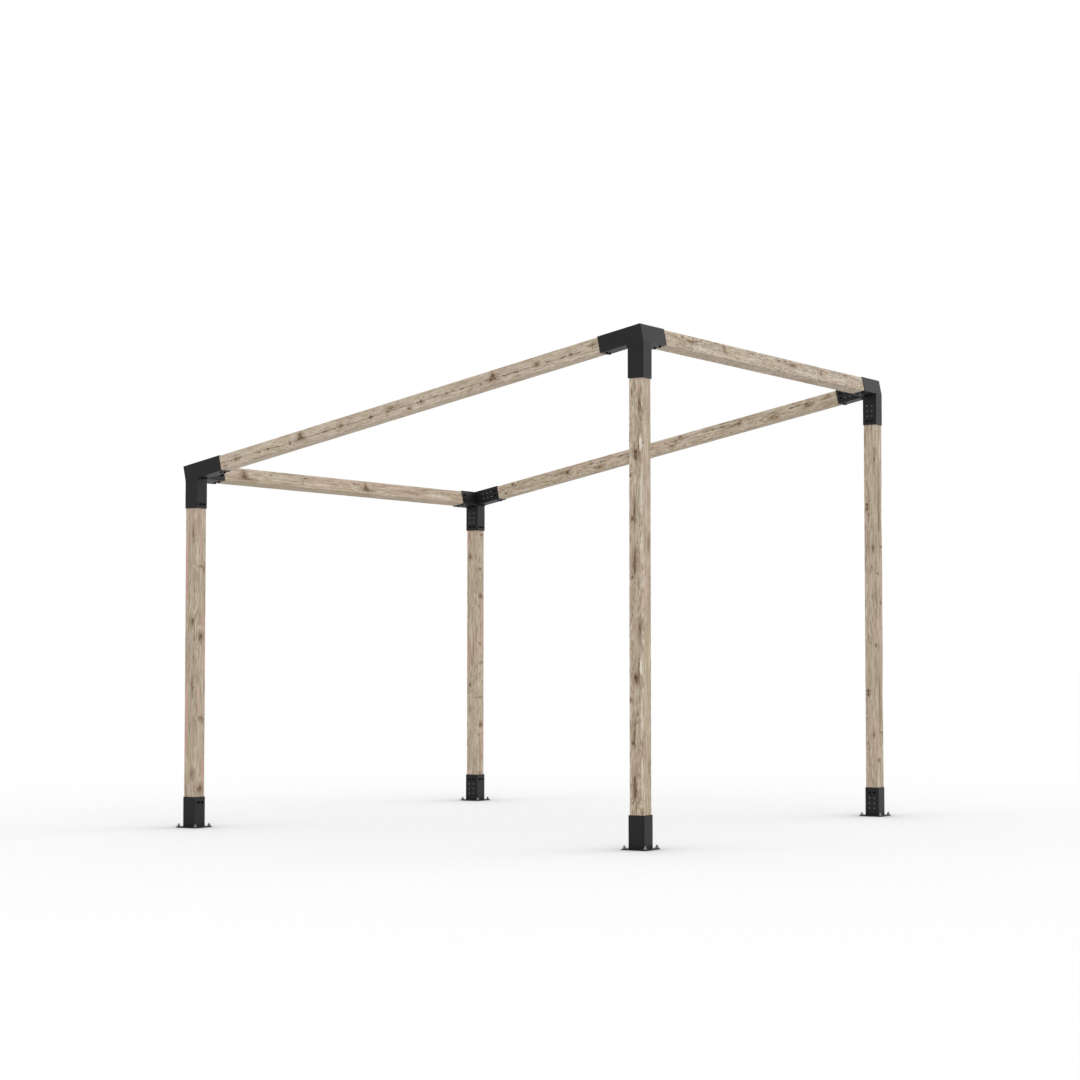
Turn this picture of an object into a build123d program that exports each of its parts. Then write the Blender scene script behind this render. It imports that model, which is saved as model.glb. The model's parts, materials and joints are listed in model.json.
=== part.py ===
"""Open timber pergola: four posts, a pitched frame of four beams, steel brackets at every joint."""
import os
from math import cos, radians, sin, tan

from build123d import *

# Driving sizes in millimetres, angles in degrees.
timber = 89.0            # side of the planed square timber
timber_edge = 5.0        # eased edge along every timber
sheet = 4.0              # bracket steel
bend = 6.0               # outside radius where the sheet is folded
clear_x = 3048.0         # free width between brackets, low side to high side
clear_y = 3048.0         # free width between brackets, front to back
knee_low = 2128.0        # height where the low brackets bend from post to beam
roof_pitch = 11.4        # fall of the roof frame towards the low side
low_reach = 191.0        # low bracket on a sloped beam, past the level beam
high_reach = 181.0       # high bracket on a sloped beam, past the level beam
level_reach = 176.0      # bracket on a level beam, past the post
post_reach = 186.0       # bracket on a post, below the inner corner
seam = 0.3               # joint between the two halves of a bracket
plate_side = 157.0       # square base plate
plate_thick = 6.0
plate_corner = 4.0       # rounding of the plate's corners
base_height = 188.0      # top of the base sleeve above the ground
anchor_inset = 13.0      # anchor holes in from the plate's edges
anchor_hole = 11.0
screw_hole = 6.0         # paired holes in the inner halves
screw_gauge = 34.0       # distance between the two holes of a pair
screw_end = 25.0         # pair to the end of its arm
base_drop = 34.0         # pair below the top of a base sleeve

# Derived sizes.
sleeve = timber + sheet + sheet
post_x = (clear_x + sleeve) / 2
post_y = (clear_y + sleeve) / 2
outer_x = post_x + sleeve / 2
outer_y = post_y + sleeve / 2
pitch = radians(roof_pitch)
level_arm = sleeve + level_reach     # level arm of a bracket, from its outer corner
roof_run = (outer_x + outer_x) / cos(pitch)
anchor_pitch = plate_side - anchor_inset - anchor_inset
beyond = clear_x / 4                 # cutters run this far past what they cut
UP = (-sin(pitch), 0, cos(pitch))    # square to the roof frame

# The roof falls to the left; fronts are built and mirrored to the back.
LEFT = -1
RIGHT = 1
SIDES = {"left": LEFT, "right": RIGHT}


def underside(x):
    """Return the height of the brackets' underside plane at x."""
    return knee_low + (x + outer_x) * tan(pitch)


def roof(side, inward, above):
    """Return x and z at a distance in along the slope from one side's outer edge, and above the underside."""
    x = side * (outer_x - inward * cos(pitch)) - above * sin(pitch)
    z = underside(side * outer_x) - side * inward * sin(pitch) + above * cos(pitch)
    return (x, z)


def inward_dir(side):
    """Return the direction in along the slope from one side."""
    return (-side * cos(pitch), 0, -side * sin(pitch))


def sloped_arm(side):
    """Return the length of a bracket's sloped arm from its outer corner."""
    return sleeve + (low_reach if side == LEFT else high_reach)


def prism(points, y_from, y_to):
    """Extrude an outline drawn in x and z from one depth to another."""
    outline = Polyline(*[(x, y_from, z) for x, z in points], close=True)
    return extrude(make_face(outline), amount=y_to - y_from, dir=(0, 1, 0))


def square_timber(plane, length):
    """Extrude one square timber with eased edges from a plane."""
    return extrude(plane * RectangleRounded(timber, timber, timber_edge), amount=length)


def make_post(side):
    """Build a front post with its top cut to the slope."""
    foot = Plane(origin=(side * post_x, -post_y, plate_thick))
    x, z = roof(side, 0, sheet)
    cut = Plane(origin=(x, -post_y, z), x_dir=(0, 1, 0), z_dir=UP)
    return split(square_timber(foot, underside(outer_x)), bisect_by=cut, keep=Keep.BOTTOM)


def make_sloped_beam():
    """Build the front beam, which falls with the roof between the two level beams."""
    start = sheet + timber
    x, z = roof(LEFT, start, sleeve / 2)
    plane = Plane(origin=(x, -post_y, z), x_dir=(0, 1, 0), z_dir=inward_dir(LEFT))
    return square_timber(plane, roof_run - start - start)


def make_level_beam(side):
    """Build a beam that runs level from front to back, rolled to the slope."""
    x, z = roof(side, sleeve / 2, sleeve / 2)
    reach = post_y + timber / 2
    plane = Plane(origin=(x, -reach, z), x_dir=inward_dir(side), z_dir=(0, 1, 0))
    return square_timber(plane, reach + reach)


def post_outline(side, inset, foot):
    """Return the outline of a post sleeve up to the roof's underside, shrunk by inset."""
    half = sleeve / 2 - inset
    rise = inset / cos(pitch)
    x_out = side * (post_x + half)
    x_in = side * (post_x - half)
    return [(x_out, foot), (x_out, underside(x_out) + rise), (x_in, underside(x_in) + rise), (x_in, foot)]


def fold(side):
    """Return x and z of a corner's inner fold, where the post arm meets the sloped arm."""
    x = side * (post_x - sleeve / 2)
    return (x, underside(x))


def arms_outline(side):
    """Return the outline of a corner's post arm and sloped arm in one, seen from the front."""
    x_in, z_fold = fold(side)
    foot = z_fold - post_reach
    arm = sloped_arm(side)
    return [(side * outer_x, foot), roof(side, 0, 0), roof(side, 0, sleeve), roof(side, arm, sleeve),
            roof(side, arm, 0), (x_in, z_fold), (x_in, foot)]


def square_outline(side, inset):
    """Return the outline of a level arm's rolled square, shrunk by inset."""
    far = sleeve - inset
    return [roof(side, inset, inset), roof(side, inset, far), roof(side, far, far), roof(side, far, inset)]


def fold_edges(shape, places):
    """Round the edges of a shape that pass through the given places, as folded sheet."""
    return fillet([shape.edges().sort_by_distance(place)[0] for place in places], bend)


def at(y, point):
    """Return a point given in x and z at a depth."""
    x, z = point
    return (x, y, z)


def make_blank(side):
    """Build the outside of a front corner: post arm, sloped arm and level arm, with folded edges."""
    front = -outer_y
    back = sleeve - outer_y
    end = level_arm - outer_y
    middle = (sleeve + level_arm) / 2
    x_in, z_fold = fold(side)
    low = z_fold - post_reach / 2
    arms = prism(arms_outline(side), front, back)
    arms = fold_edges(arms, [(x_in, back, low), at(back, roof(side, middle, 0))])
    level = prism(square_outline(side, 0), front, end)
    level = fold_edges(level, [at(back, roof(side, sleeve, 0))])
    outer_folds = [(side * outer_x, front, low), at(front, roof(side, 0, sleeve / 2)),
                   at(front, roof(side, middle, sleeve)), at(middle - outer_y, roof(side, 0, sleeve))]
    return fold_edges(arms + level, outer_folds)


def make_sleeve(side):
    """Build the three way sleeve of a front corner, hollow for its three timbers."""
    near = sheet - outer_y
    far = near + timber
    top = sheet + timber
    sloped = [roof(side, sheet, sheet), roof(side, sheet, top),
              roof(side, beyond, top), roof(side, beyond, sheet)]
    body = make_blank(side)
    body -= prism(square_outline(side, sheet), near, near + beyond)
    body -= prism(sloped, near, far)
    body -= prism(post_outline(side, sheet, 0), near, far)
    return body


def inner_zone(side, margin):
    """Return the space behind a corner's outer sheets, at a margin from their outer faces."""
    x_out = side * (outer_x - margin)
    knee = underside(side * outer_x) - side * margin * tan(pitch / 2)
    top = sleeve - margin
    points = [(x_out, 0), (x_out, knee), roof(side, margin, top), roof(side, beyond, top),
              (side * (outer_x - beyond), 0)]
    return prism(points, margin - outer_y, beyond - outer_y)


def pair(place, x_dir, normal):
    """Return the cutters of two holes beside a place on a sheet."""
    plane = Plane(origin=place, x_dir=x_dir, z_dir=normal)
    holes = Sketch() + GridLocations(screw_gauge, screw_gauge, 2, 1) * Circle(screw_hole / 2)
    return extrude(plane * holes, amount=sheet + sheet, both=True)


def corner_pairs(side):
    """Return the cutters of every pair of holes in a front corner's inner half."""
    x_in, z_fold = fold(side)
    foot = z_fold - post_reach + screw_end
    tip = sloped_arm(side) - screw_end
    return [pair((side * post_x, sleeve - outer_y, foot), (1, 0, 0), (0, 1, 0)),
            pair((x_in, -post_y, foot), (0, 1, 0), (1, 0, 0)),
            pair(at(-post_y, roof(side, tip, 0)), (0, 1, 0), UP)]


def make_corner(side):
    """Return the outer and the inner half of a front corner bracket."""
    body = make_sleeve(side)
    outer = body - inner_zone(side, sheet)
    inner = body & inner_zone(side, sheet + seam)
    for cut in corner_pairs(side):
        inner -= cut
    return outer, inner


def make_base(side):
    """Return a front base's fixed half with its plate, and its clamp half, whose walls face the other posts."""
    inward = -side
    square = Rectangle(sleeve, sleeve)
    corners = [(end * inward * sleeve, end * sleeve, 0) for end in (1, -1)]
    folds = [square.vertices().sort_by_distance(corner)[0] for corner in corners]
    ring = fillet(folds, bend) - Rectangle(timber, timber)
    rise = base_height - plate_thick
    zones = []
    for margin in (sheet, sheet + seam):
        shift = (beyond - sleeve) / 2 + margin
        zones.append(Pos(inward * shift, shift) * Rectangle(beyond, beyond))
    anchors = Sketch() + GridLocations(anchor_pitch, anchor_pitch, 2, 2) * Circle(anchor_hole / 2)
    plate = RectangleRounded(plate_side, plate_side, plate_corner) - anchors
    on_plate = Pos(0, 0, plate_thick)
    fixed = extrude(plate, amount=plate_thick) + on_plate * extrude(ring - zones[0], amount=rise)
    clamp = on_plate * extrude(ring & zones[1], amount=rise)
    level = base_height - base_drop
    clamp -= pair((inward * sleeve / 2, 0, level), (0, 1, 0), (1, 0, 0))
    clamp -= pair((0, sleeve / 2, level), (1, 0, 0), (0, 1, 0))
    place = Pos(side * post_x, -post_y, 0)
    return place * fixed, place * clamp


def save(shape, node):
    """Write one named piece."""
    export_step(shape, "parts/" + node + ".step")


def main():
    """Build every piece and write its file."""
    os.makedirs("parts", exist_ok=True)
    beam = make_sloped_beam()
    save(beam, "front_beam")
    save(mirror(beam, about=Plane.XZ), "back_beam")
    for name, side in SIDES.items():
        save(make_level_beam(side), name + "_beam")
        outer, inner = make_corner(side)
        base, clamp = make_base(side)
        pieces = {"post": make_post(side), "corner_outer": outer, "corner_inner": inner,
                  "base": base, "base_clamp": clamp}
        for piece, shape in pieces.items():
            save(shape, "front_" + name + "_" + piece)
            save(mirror(shape, about=Plane.XZ), "back_" + name + "_" + piece)


main()
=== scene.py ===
"""Looks of an open timber pergola: planed posts and beams, powder coated brackets, screws and anchors."""

import json
import logging
import math
from dataclasses import dataclass, replace
from enum import Enum
from typing import Iterable, Mapping, Optional, Sequence, Union

import bmesh
import bpy
from mathutils import Matrix, Vector


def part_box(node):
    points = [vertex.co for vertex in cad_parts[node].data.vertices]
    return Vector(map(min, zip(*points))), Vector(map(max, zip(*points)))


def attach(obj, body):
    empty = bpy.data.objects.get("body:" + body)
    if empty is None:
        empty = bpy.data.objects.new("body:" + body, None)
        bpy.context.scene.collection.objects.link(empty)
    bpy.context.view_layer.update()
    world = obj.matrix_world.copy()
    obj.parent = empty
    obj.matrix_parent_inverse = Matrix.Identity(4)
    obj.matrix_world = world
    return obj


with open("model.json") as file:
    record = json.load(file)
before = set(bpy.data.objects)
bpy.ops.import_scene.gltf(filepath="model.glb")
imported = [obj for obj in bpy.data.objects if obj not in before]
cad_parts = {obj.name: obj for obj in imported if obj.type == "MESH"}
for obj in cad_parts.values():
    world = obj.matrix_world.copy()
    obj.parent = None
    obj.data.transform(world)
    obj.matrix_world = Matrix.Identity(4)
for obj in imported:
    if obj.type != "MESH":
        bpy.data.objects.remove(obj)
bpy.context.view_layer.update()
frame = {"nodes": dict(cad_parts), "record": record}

BODY = "root"
ALONG_X = Vector((1.0, 0.0, 0.0))
ALONG_Y = Vector((0.0, 1.0, 0.0))
UP = Vector((0.0, 0.0, 1.0))
MERGE_DISTANCE = 1e-6
LOG = logging.getLogger("pergola")

Colour = tuple[float, float, float]
Span = tuple[float, float]
Socket = bpy.types.NodeSocket
Feed = Union[float, Sequence[float], Socket]


def linear(step: int) -> float:
    """Turn a display step into a linear value.

    Args:
        step: The display step, 0 to 255.

    Returns:
        The linear value, 0 to 1.
    """
    share = step / 255
    if share <= 0.04045:
        return share / 12.92
    return ((share + 0.055) / 1.055) ** 2.4


def tone(red: int, green: int, blue: int) -> Colour:
    """Return a colour given in display steps as the linear values that shaders take."""
    return linear(red), linear(green), linear(blue)


def middle(node: str) -> Vector:
    """Return the middle of a CAD node's box."""
    low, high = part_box(node)
    return (low + high) / 2


@dataclass(frozen=True)
class Sway:
    """How soft noise moves a place about on a timber.

    Attributes:
        wave_along: Length of one wave along the grain, in metres.
        wave_across: Length of one wave across the grain.
        reach_along: How far a place moves along the grain.
        reach_across: How far it moves across the grain.
    """

    wave_along: float
    wave_across: float
    reach_along: float
    reach_across: float

    def waves(self) -> tuple[float, float, float]:
        """Return the length of one wave each way."""
        return self.wave_along, self.wave_across, self.wave_across

    def reach(self) -> tuple[float, float, float]:
        """Return how far a place moves each way."""
        return self.reach_along, self.reach_across, self.reach_across

    def strayed(self, share: float) -> "Sway":
        """Return the same sway with its reach across the grain times a share."""
        return replace(self, reach_across=self.reach_across * share)


class Graph:
    """A node tree that is written value by value."""

    MIX_COLOURS = slice(6, 8)
    MIX_RESULT = 2

    def __init__(self, tree: bpy.types.NodeTree) -> None:
        """Start from an empty tree."""
        self.tree = tree
        self.tree.nodes.clear()

    def add(self, kind: str, **settings: object) -> bpy.types.Node:
        """Add a node.

        Args:
            kind: Blender's name of the node type.
            settings: Properties to set on it.

        Returns:
            The new node.
        """
        node = self.tree.nodes.new(kind)
        for name, value in settings.items():
            setattr(node, name, value)
        return node

    def feed(self, socket: Socket, value: Feed) -> None:
        """Link a socket to another, or set its value.

        Args:
            socket: The input.
            value: The output to link it to, or the value to set.
        """
        if isinstance(value, Socket):
            self.tree.links.new(value, socket)
        else:
            socket.default_value = value

    def feed_all(self, node: bpy.types.Node, values: Iterable[Feed]) -> None:
        """Feed a node's inputs in their order."""
        for socket, value in zip(node.inputs, values):
            self.feed(socket, value)

    def feed_named(self, node: bpy.types.Node, values: Mapping[str, Feed]) -> None:
        """Feed a node's inputs by their names."""
        for name, value in values.items():
            self.feed(node.inputs[name], value)

    def math(self, operation: str, *values: Feed) -> Socket:
        """Do one sum on numbers.

        Args:
            operation: Blender's name of the sum.
            values: The numbers that go in.

        Returns:
            The result.
        """
        node = self.add("ShaderNodeMath", operation=operation)
        self.feed_all(node, values)
        return node.outputs["Value"]

    def vector(self, operation: str, *values: Feed) -> Socket:
        """Do one sum on vectors.

        Args:
            operation: Blender's name of the sum.
            values: The vectors that go in.

        Returns:
            The resulting vector.
        """
        node = self.add("ShaderNodeVectorMath", operation=operation)
        self.feed_all(node, values)
        return node.outputs["Vector"]

    def length(self, first: Socket, second: Socket) -> Socket:
        """Measure the long side over two sides that meet square.

        Args:
            first: One side.
            second: The other side.

        Returns:
            The length of the long side.
        """
        squares = [self.math("MULTIPLY", side, side) for side in (first, second)]
        return self.math("SQRT", self.math("ADD", *squares))

    def step(self, value: Feed, start: float, end: float) -> Socket:
        """Ease from 0 to 1 as a value goes from start to end.

        Args:
            value: The value.
            start: Where it begins.
            end: Where it is full. It may be below the start.

        Returns:
            0 to 1.
        """
        node = self.add("ShaderNodeMapRange", interpolation_type="SMOOTHSTEP")
        self.feed_named(node, {"Value": value, "From Min": start, "From Max": end})
        return node.outputs["Result"]

    def span(self, value: Feed, low: float, high: float) -> Socket:
        """Go from low to high as a value goes from 0 to 1.

        Args:
            value: The value.
            low: The result at 0.
            high: The result at 1.

        Returns:
            Low to high.
        """
        node = self.add("ShaderNodeMapRange")
        self.feed_named(node, {"Value": value, "To Min": low, "To Max": high})
        return node.outputs["Result"]

    def join(self, x: Feed, y: Feed, z: Feed) -> Socket:
        """Make a vector of three numbers.

        Args:
            x: The first number.
            y: The second number.
            z: The third number.

        Returns:
            The vector.
        """
        node = self.add("ShaderNodeCombineXYZ")
        self.feed_all(node, (x, y, z))
        return node.outputs["Vector"]

    def part(self, vector: Socket) -> tuple[Socket, Socket, Socket]:
        """Take a vector apart.

        Args:
            vector: The vector.

        Returns:
            Its three numbers.
        """
        node = self.add("ShaderNodeSeparateXYZ")
        self.feed(node.inputs["Vector"], vector)
        return node.outputs["X"], node.outputs["Y"], node.outputs["Z"]

    def noise(self, vector: Socket, detail: float = 2.0) -> Socket:
        """Draw soft noise in three dimensions.

        Args:
            vector: The place, in spots.
            detail: Octaves of finer noise.

        Returns:
            0 to 1, about a half.
        """
        node = self.add("ShaderNodeTexNoise")
        self.feed_named(node, {"Vector": vector, "Scale": 1.0, "Detail": detail})
        return node.outputs["Fac"]

    def grain(self, place: Socket, size: float, detail: float = 2.0) -> Socket:
        """Return even noise whose spots are of one size in metres."""
        return self.noise(self.vector("MULTIPLY", place, (1 / size,) * 3), detail)

    def wave(self, place: Socket, scale: float, detail: float = 1.0) -> Socket:
        """Draw soft noise along one line.

        Args:
            place: The place on the line, in metres.
            scale: Waves in a metre.
            detail: Octaves of finer noise.

        Returns:
            A half to each side of 0.
        """
        node = self.add("ShaderNodeTexNoise", noise_dimensions="1D")
        self.feed_named(node, {"W": place, "Scale": scale, "Detail": detail})
        return self.math("SUBTRACT", node.outputs["Fac"], 0.5)

    def warp(self, place: Socket, sway: Sway) -> Socket:
        """Move a place about by soft noise.

        Args:
            place: The place to move.
            sway: How it moves.

        Returns:
            The moved place.
        """
        node = self.add("ShaderNodeTexNoise")
        spots = self.vector("DIVIDE", place, sway.waves())
        self.feed_named(node, {"Vector": spots, "Scale": 1.0, "Detail": 1.0})
        centred = self.vector("SUBTRACT", node.outputs["Color"], (0.5, 0.5, 0.5))
        return self.vector("MULTIPLY_ADD", centred, sway.reach(), place)

    def face_place(self, place: Socket, turn: Feed) -> tuple[Socket, Socket, Socket]:
        """Measure a place from one face of a timber.

        Args:
            place: The place along the timber and across it both ways.
            turn: The face, as an angle about the timber.

        Returns:
            How far the place is along the grain, out of the face and across the face.
        """
        node = self.add("ShaderNodeVectorRotate", rotation_type="X_AXIS")
        self.feed_named(node, {"Vector": place, "Angle": self.math("MULTIPLY", turn, -1.0)})
        return self.part(node.outputs["Vector"])

    def blend(self, share: Feed, first: Feed, second: Feed) -> Socket:
        """Mix two colours.

        Args:
            share: 0 for the first, 1 for the second.
            first: The first colour.
            second: The second colour.

        Returns:
            The mixed colour.
        """
        node = self.add("ShaderNodeMix", data_type="RGBA")
        self.feed(node.inputs["Factor"], share)
        for socket, colour in zip(node.inputs[self.MIX_COLOURS], (first, second)):
            self.feed(socket, colour if isinstance(colour, Socket) else (*colour, 1.0))
        return node.outputs[self.MIX_RESULT]

    def bump(self, height: Socket, depth: float, strength: float) -> Socket:
        """Give a surface relief.

        Args:
            height: The relief, about 0 to 1.
            depth: Its height at 1, in metres.
            strength: How much of it shows.

        Returns:
            The normal of the surface with its relief.
        """
        node = self.add("ShaderNodeBump")
        self.feed_named(node, {"Height": height, "Distance": depth, "Strength": strength})
        return node.outputs["Normal"]

    def place(self) -> Socket:
        """Return the point's own coordinates in metres."""
        return self.add("ShaderNodeTexCoord").outputs["Object"]

    def choose(self, share: Socket, first: Socket, second: Socket) -> Socket:
        """Choose between two shaders.

        Args:
            share: 0 for the first, 1 for the second.
            first: The first shader.
            second: The second shader.

        Returns:
            The chosen shader.
        """
        node = self.add("ShaderNodeMixShader")
        self.feed_all(node, (share, first, second))
        return node.outputs["Shader"]

    def surface(self, colour: Socket, roughness: Socket, normal: Socket, **settings: float) -> None:
        """End the tree in one surface.

        Args:
            colour: The surface's colour.
            roughness: Its roughness.
            normal: Its normal with relief.
            settings: Other shader values, by socket name with spaces as underscores.
        """
        shader = self.add("ShaderNodeBsdfPrincipled")
        self.feed_named(shader, {"Base Color": colour, "Roughness": roughness, "Normal": normal})
        self.feed_named(shader, {name.replace("_", " "): value for name, value in settings.items()})
        output = self.add("ShaderNodeOutputMaterial")
        self.feed(output.inputs["Surface"], shader.outputs["BSDF"])


def new_material(name: str) -> tuple[bpy.types.Material, Graph]:
    """Start a material.

    Args:
        name: Its name.

    Returns:
        The material and its empty graph.
    """
    material = bpy.data.materials.new(name)
    material.use_nodes = True
    return material, Graph(material.node_tree)


class Grain(Enum):
    """The way a timber's grain runs."""

    UPRIGHT = "upright"
    SLOPED = "sloped"
    LEVEL = "level"


class Course(Enum):
    """The way fibres run along a timber."""

    CURLY = "curly"
    STRAIGHT = "straight"


class KnotShape(Enum):
    """The outline of a knot on a face."""

    OVAL = 0.0
    DART = 1.0


@dataclass(frozen=True)
class Knot:
    """A knot, a brown or pink streak, a pale sliver or a painted shadow line in a timber's face.

    It shows again after one length of the figure, and moved along on the face behind.

    Attributes:
        along: Place along the timber, from its middle.
        turn: The face, in degrees about the timber.
        across: Place across the face, from its middle line.
        radius: Half its width.
        slim: Its width as a share of its length.
        depth: How dark or pale it is.
        shape: Its outline.
    """

    along: float
    turn: float
    across: float
    radius: float
    slim: float = 0.7
    depth: float = 1.0
    shape: KnotShape = KnotShape.OVAL


@dataclass(frozen=True)
class Check:
    """A drying crack that wanders along a timber's face.

    Attributes:
        turn: The face, in degrees about the timber.
        across: Place across the face, from its middle line.
        wander: How far it strays to each side.
        width: Half its width where it is thin.
        share: How much of the length it is open.
    """

    turn: float
    across: float
    wander: float
    width: float
    share: float


@dataclass(frozen=True)
class Figure:
    """What one timber's faces show.

    Attributes:
        grain: The way its grain runs.
        seed: A number that makes its grain its own.
        repeat: Length of the figure.
        knots: Its knots and brown streaks, and any shadow line painted beside a sliver.
        slivers: Its pale slivers.
        blushes: Its pink streaks.
        checks: Its drying cracks.
        flecks: Share of its arrises that are pale and ragged.
        stains: Strength of its brown streaks.
        mottle: Strength of its short dark and pale dashes.
        calm: Share of the mottle on the faces at turns of 0 and 180 degrees.
        straw: Strength of its yellow patches.
        bleach: Strength of its grey patches.
        stretch: Length of its streaks against a common timber's.
        curl: How far its streaks stray, against a common timber's.
        lift: How far the whole is lifted towards pale wood.
    """

    grain: Grain
    seed: float
    repeat: float
    knots: tuple[Knot, ...] = ()
    slivers: tuple[Knot, ...] = ()
    blushes: tuple[Knot, ...] = ()
    checks: tuple[Check, ...] = ()
    flecks: float = 0.3
    stains: float = 0.5
    mottle: float = 0.4
    calm: float = 1.0
    straw: float = 0.6
    bleach: float = 0.3
    stretch: float = 1.0
    curl: float = 1.0
    lift: float = 0.0


@dataclass(frozen=True)
class Streak:
    """Noise that is drawn out along the grain.

    Attributes:
        length: Length of one streak, in metres.
        width: Its width.
        shift: A number that sets it apart from the other streaks.
        detail: Octaves of finer noise.
        course: The fibres that it follows.
    """

    length: float
    width: float
    shift: float
    detail: float
    course: Course = Course.CURLY


@dataclass(frozen=True)
class Mark:
    """A colour that a streak lays over the timber.

    Attributes:
        streak: The streak.
        start: Value of the streak at which the colour begins to show.
        end: Value at which it is full.
        colour: The colour.
        strength: Its share where it is full, unless the timber's figure gives one.
    """

    streak: Streak
    start: float
    end: float
    colour: Colour
    strength: float = 1.0


@dataclass(frozen=True)
class KnotField:
    """The node group that measures one knot: the distance to it in radii, and its mark.

    Attributes:
        half: Half the timber's width.
        name: The group's name.
        far_shift: How far a knot is moved along on the face behind.
        spread: How fast a dart's flanks close along the grain.
        lean: How far a dart's flanks lean.
        away: Distance given to the faces that the knot isn't on.
        fade: Distances at which the mark begins and is full.
    """

    half: float
    name: str = "knot_field"
    far_shift: float = 0.31
    spread: float = 1.2
    lean: float = 0.55
    away: float = 100.0
    fade: Span = (1.2, 0.4)

    def group(self) -> bpy.types.NodeTree:
        """Return the group, which is built once."""
        return bpy.data.node_groups.get(self.name) or self.build()

    def offsets(self, graph: Graph, source: bpy.types.Node) -> tuple[Socket, Socket, Socket]:
        """Measure a place from a knot's middle.

        Args:
            graph: The group's graph.
            source: The group's inputs.

        Returns:
            How far the place is along the grain, drawn in by the slimness, across the face and out of it.
        """
        knot = source.outputs
        grain, out, across = graph.face_place(knot["Vector"], knot["Turn"])
        behind = graph.math("MULTIPLY", graph.math("LESS_THAN", out, 0.0), self.far_shift)
        past = graph.math("SUBTRACT", graph.math("SUBTRACT", grain, knot["Along"]), behind)
        ahead = graph.math("MULTIPLY", knot["Repeat"], 0.5)
        back = graph.math("MULTIPLY", knot["Repeat"], -0.5)
        along = graph.math("MULTIPLY", graph.math("WRAP", past, ahead, back), knot["Slim"])
        return along, graph.math("SUBTRACT", across, knot["Across"]), out

    def outline(self, graph: Graph, along: Socket, beside: Socket, dart_share: Socket) -> Socket:
        """Measure the distance from a knot by its outline.

        Args:
            graph: The group's graph.
            along: Distance along the grain.
            beside: Distance across the face.
            dart_share: 0 for an oval, 1 for a dart.

        Returns:
            The distance in metres.
        """
        oval = graph.length(along, beside)
        flank = graph.math("SUBTRACT", graph.math("MULTIPLY", graph.math("ABSOLUTE", along), self.spread),
                           graph.math("MULTIPLY", beside, self.lean))
        dart = graph.math("MAXIMUM", beside, flank)
        return graph.math("ADD", oval, graph.math("MULTIPLY", graph.math("SUBTRACT", dart, oval), dart_share))

    def build(self) -> bpy.types.NodeTree:
        """Build the group.

        Returns:
            The node tree, which takes a knot's values and gives the distance to it and its mark.
        """
        tree = bpy.data.node_groups.new(self.name, "ShaderNodeTree")
        graph = Graph(tree)
        tree.interface.new_socket("Vector", in_out="INPUT", socket_type="NodeSocketVector")
        for name in ("Along", "Turn", "Across", "Radius", "Slim", "Depth", "Dart", "Repeat"):
            tree.interface.new_socket(name, in_out="INPUT", socket_type="NodeSocketFloat")
        for name in ("Distance", "Mark"):
            tree.interface.new_socket(name, in_out="OUTPUT", socket_type="NodeSocketFloat")
        source = graph.add("NodeGroupInput")
        knot = source.outputs
        along, beside, out = self.offsets(graph, source)
        reach = self.outline(graph, along, beside, knot["Dart"])
        inside = graph.math("LESS_THAN", graph.math("ABSOLUTE", out), self.half / 2)
        distance = graph.math("ADD", graph.math("DIVIDE", reach, knot["Radius"]),
                              graph.math("MULTIPLY", inside, self.away))
        mark = graph.math("MULTIPLY", graph.step(distance, *self.fade), knot["Depth"])
        graph.feed_named(graph.add("NodeGroupOutput"), {"Distance": distance, "Mark": mark})
        return tree


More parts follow.
